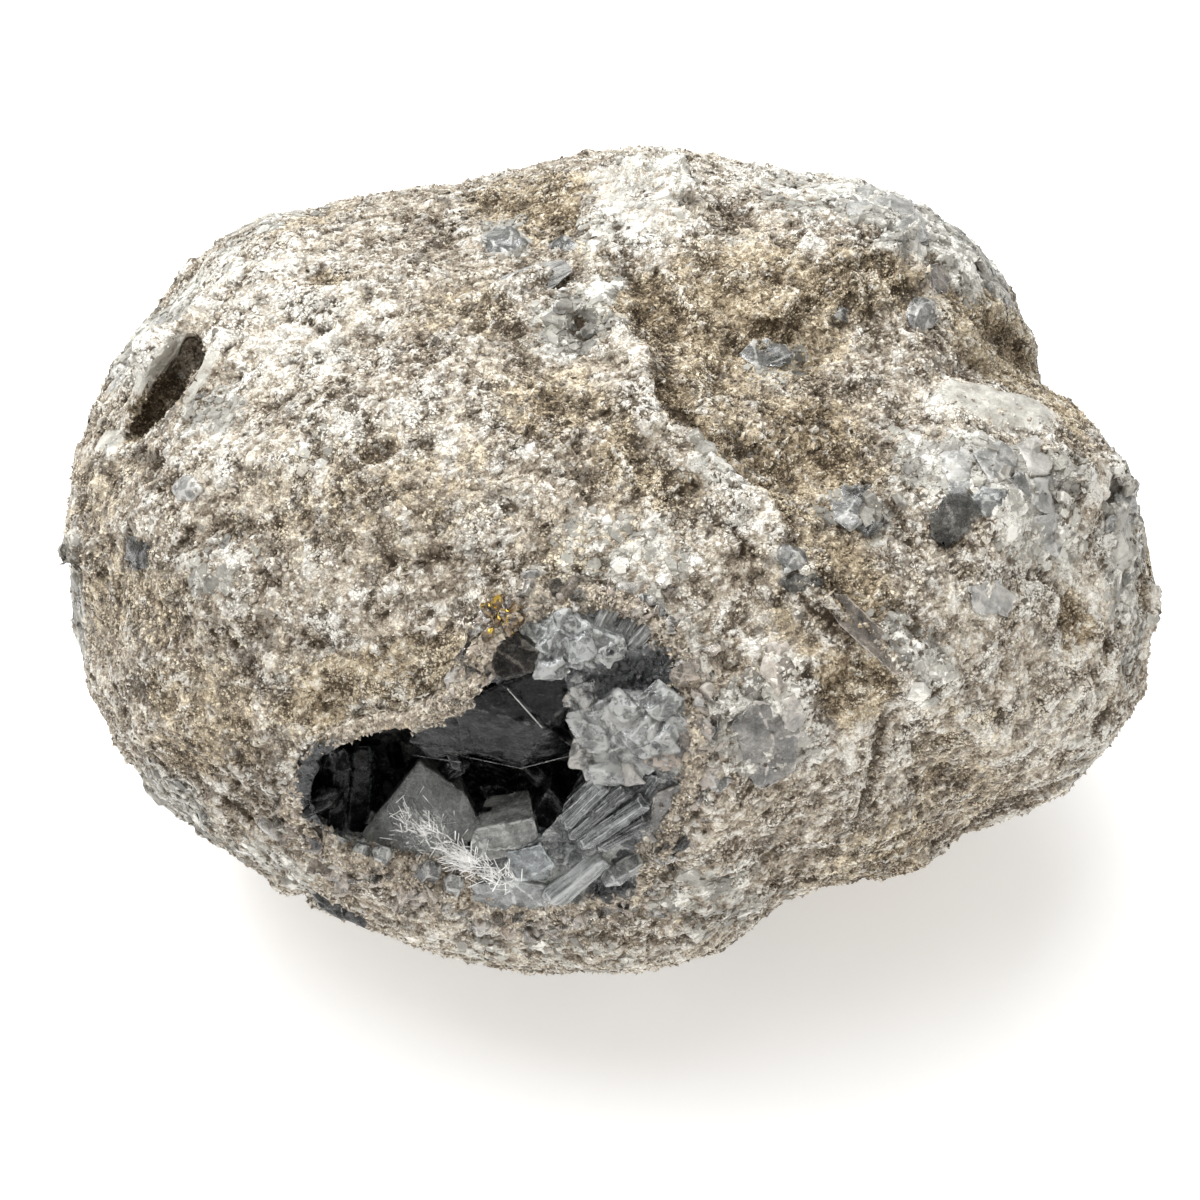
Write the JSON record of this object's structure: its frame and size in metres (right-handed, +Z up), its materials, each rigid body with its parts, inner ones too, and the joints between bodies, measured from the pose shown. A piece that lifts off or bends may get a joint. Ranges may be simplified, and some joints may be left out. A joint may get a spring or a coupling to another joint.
{
  "type": "celestite geode",
  "caption": "Rounded rough nodule of sandy matrix with a worn flat foot and an open pocket lined with blocky and ribbed celestite crystals in its front.",
  "frame": {"origin": "centre of the outline seen from above, on the surface that the flat foot rests on", "axes": "+Z up, -Y to the front where the crystal pocket opens, +X to the right as seen from the front"},
  "size_m": [0.1805, 0.1525, 0.1279],
  "materials": {
    "matrix": "rough chalky and sandy, with dull crystal faces in patches",
    "celestite": "glassy, smoky blue-grey and partly see-through"
  },
  "bodies": {
    "root": {"stone": "matrix", "crystal_crust": "celestite"}
  },
  "joints": []
}
